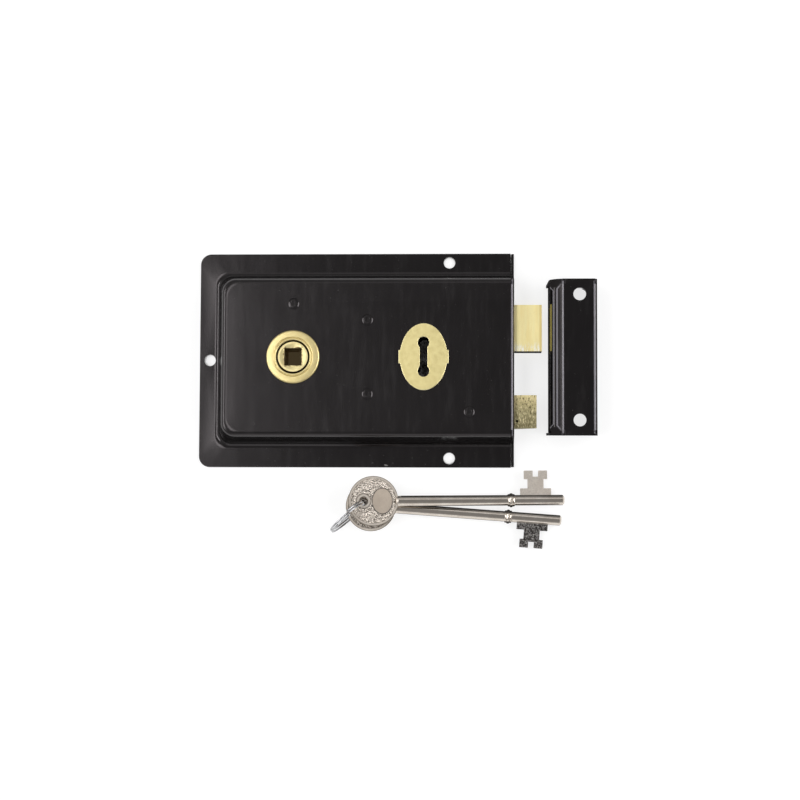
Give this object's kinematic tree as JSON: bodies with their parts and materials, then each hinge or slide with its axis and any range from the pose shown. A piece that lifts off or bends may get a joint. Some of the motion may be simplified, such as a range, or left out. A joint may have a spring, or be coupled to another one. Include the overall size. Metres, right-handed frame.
{
  "type": "rim lock",
  "caption": "Rim box lock: black pressed case with brass follower, deadbolt and bevelled latch, plus box keep and lever keys on a split ring.",
  "frame": {"origin": "middle of the case's back, on the door face", "axes": "+X towards the forend and the bolts, +Y to the top of the door, +Z out of the door into the room"},
  "size_m": [0.1912, 0.1423, 0.0213],
  "materials": {
    "case_paint": "satin black stoved paint on pressed steel",
    "post_paint": "steel post, its riveted end painted over with the case",
    "keep_paint": "glossier black paint on folded steel",
    "brass": "satin turned brass",
    "pale_brass": "flat pressed brass, pale and bright at its edge",
    "bolt_brass": "brushed cast brass",
    "steel": "plain mild steel",
    "spring_steel": "spring wire and strip",
    "bright_steel": "bright plated steel",
    "key_nickel": "nickel-plated casting with a stippled bow"
  },
  "bodies": {
    "lock": {"case": "case_paint", "back_plate": "case_paint", "back_plate_screws": "bright_steel", "lever_spring_post": "post_paint", "lever_pivot_post": "post_paint", "latch_spring_post": "post_paint", "latch_guide_post": "post_paint", "follower_rose": "brass", "keyhole_escutcheon": "pale_brass", "front_ward": "steel", "rear_ward": "steel", "lever_spacers": "steel", "latch_spring": "spring_steel"},
    "deadbolt": {"deadbolt_head": "bolt_brass", "deadbolt_tail": "steel", "deadbolt_stump": "steel", "deadbolt_rivets": "bolt_brass"},
    "follower": {"follower": "brass"},
    "latch": {"latch_head": "bolt_brass", "latch_tail": "steel", "latch_rivets": "bolt_brass"},
    "front_lever": {"front_lever": "brass", "front_lever_spring": "spring_steel"},
    "rear_lever": {"rear_lever": "brass", "rear_lever_spring": "spring_steel"},
    "keep": {"keep": "keep_paint"},
    "key_ring": {"key_ring": "bright_steel"},
    "key_1": {"key_1": "key_nickel"},
    "key_2": {"key_2": "key_nickel"}
  },
  "joints": [
    {"name": "deadbolt_slide", "type": "slide", "parent": "lock", "child": "deadbolt", "axis": [1, 0, 0], "range_m": [-0.0131, 0]},
    {"name": "follower_turn", "type": "hinge", "parent": "lock", "child": "follower", "pos_m": [-0.029, 0, 0.0095], "axis": [0, 0, 1], "range_deg": [0, 36.82]},
    {"name": "latch_slide", "type": "slide", "parent": "lock", "child": "latch", "axis": [1, 0, 0], "range_m": [-0.0106, 0], "stiffness_N_per_m": 400, "springref_m": 0.01, "deforming": ["latch_spring"]},
    {"name": "front_lever_lift", "type": "hinge", "parent": "lock", "child": "front_lever", "pos_m": [0.0064, 0.0176, 0.012], "axis": [0, 0, 1], "range_deg": [0, 6.35], "deforming": ["front_lever_spring"]},
    {"name": "rear_lever_lift", "type": "hinge", "parent": "lock", "child": "rear_lever", "pos_m": [0.0064, 0.0176, 0.007], "axis": [0, 0, 1], "range_deg": [0, 6.35], "deforming": ["rear_lever_spring"]},
    {"name": "keep_lift", "type": "slide", "parent": "lock", "child": "keep", "axis": [0, 0, 1], "range_m": [0, 0.04]},
    {"name": "key_ring_lift", "type": "slide", "parent": "lock", "child": "key_ring", "axis": [0, 0, 1], "range_m": [0, 0.04]},
    {"name": "key_1_swing", "type": "hinge", "parent": "key_ring", "child": "key_1", "pos_m": [0.00443, -0.06817, 0.0107], "axis": [0.0854, 0.0009, 0.9963], "range_deg": [0, 8]},
    {"name": "key_2_swing", "type": "hinge", "parent": "key_ring", "child": "key_2", "pos_m": [0.00295, -0.07017, 0.005], "axis": [0.0219, -0.0016, 0.9998], "range_deg": [-30, 0]}
  ],
  "couplings": [
    {"joint": "follower_turn", "follows": "latch_slide", "rad_per_m": -60.606},
    {"joint": "front_lever_lift", "follows": "deadbolt_slide", "rad_per_m": -8.46},
    {"joint": "rear_lever_lift", "follows": "deadbolt_slide", "rad_per_m": -8.46}
  ]
}
